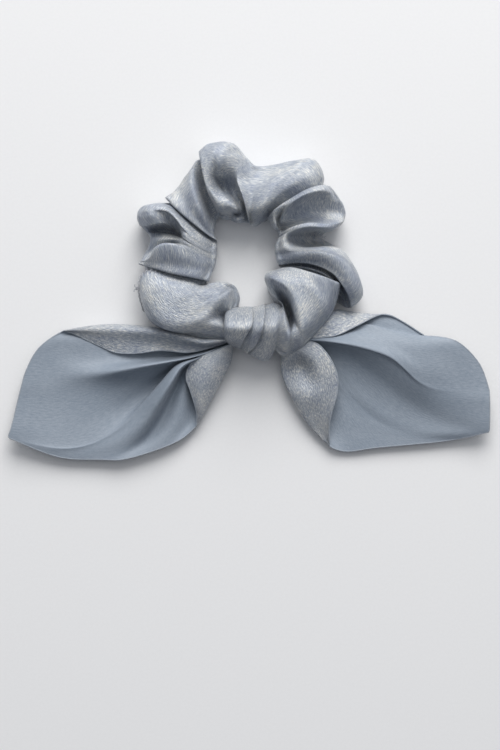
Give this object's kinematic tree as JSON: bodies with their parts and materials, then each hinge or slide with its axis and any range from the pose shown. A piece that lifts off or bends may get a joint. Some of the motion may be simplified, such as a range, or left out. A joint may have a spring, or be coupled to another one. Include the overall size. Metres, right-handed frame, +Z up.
{
  "type": "scrunchie",
  "caption": "Gathered satin hair ring on a hidden elastic, with a separate satin tie knotted round it whose two hemmed tails lie spread out.",
  "frame": {"origin": "on the table, under the middle of the whole outline; the object lies flat", "axes": "+X from the left tail to the right tail, +Y from the tails towards the far side of the ring, +Z up from the table"},
  "size_m": [0.2006, 0.1338, 0.0262],
  "materials": {
    "cover_satin": "slubby satin, soft sheen, grey-blue",
    "tie_satin": "right side of the tie, slubby satin, grey-blue",
    "tie_wrong_side": "wrong side of the tie, matte, bluer grey",
    "hem_thread": "fine overlock thread, matte",
    "sewing_thread": "polyester sewing thread",
    "elastic": "flat braided elastic, off-white"
  },
  "bodies": {
    "ring_base": {"cover_bottom": "cover_satin", "cover_left": "cover_satin", "cover_right": "cover_satin", "elastic_bottom": "elastic", "elastic_left": "elastic", "elastic_right": "elastic", "seam_thread_bottom": "sewing_thread", "seam_thread_left": "sewing_thread", "seam_thread_right": "sewing_thread", "elastic_join_stitches": "sewing_thread", "closing_stitches": "sewing_thread", "closing_thread_knot": "sewing_thread", "knot_wrap": "tie_satin", "knot_core": "tie_satin"},
    "ring_top": {"cover_top": "cover_satin", "elastic_top": "elastic", "seam_thread_top": "sewing_thread"},
    "tail_left": {"tail_left_inner": "tie_wrong_side", "hem_left_inner": "hem_thread"},
    "tail_left_tip": {"tail_left_outer": "tie_wrong_side", "hem_left_outer": "hem_thread"},
    "tail_right": {"tail_right_inner": "tie_wrong_side", "hem_right_inner": "hem_thread"},
    "tail_right_tip": {"tail_right_outer": "tie_wrong_side", "hem_right_outer": "hem_thread"}
  },
  "joints": [
    {"name": "ring_stretch", "type": "slide", "parent": "ring_base", "child": "ring_top", "axis": [0, 1, 0], "range_m": [0, 0.055], "stiffness_N_per_m": 120, "deforming": ["cover_left", "cover_right", "elastic_left", "elastic_right", "seam_thread_left", "seam_thread_right"]},
    {"name": "tail_left_swing", "type": "hinge", "parent": "ring_base", "child": "tail_left", "pos_m": [-0.016, -0.0165, 0], "axis": [0, 0, 1], "range_deg": [0, 25]},
    {"name": "tail_left_lift", "type": "hinge", "parent": "tail_left", "child": "tail_left_tip", "pos_m": [-0.04546, -0.029, 0.0022], "axis": [-0.3907, 0.9205, 0], "range_deg": [0, 75]},
    {"name": "tail_right_swing", "type": "hinge", "parent": "ring_base", "child": "tail_right", "pos_m": [0.0196, -0.0165, 0], "axis": [0, 0, -1], "range_deg": [0, 25]},
    {"name": "tail_right_lift", "type": "hinge", "parent": "tail_right", "child": "tail_right_tip", "pos_m": [0.04967, -0.02745, 0.0022], "axis": [-0.342, -0.9397, 0], "range_deg": [0, 75]}
  ]
}
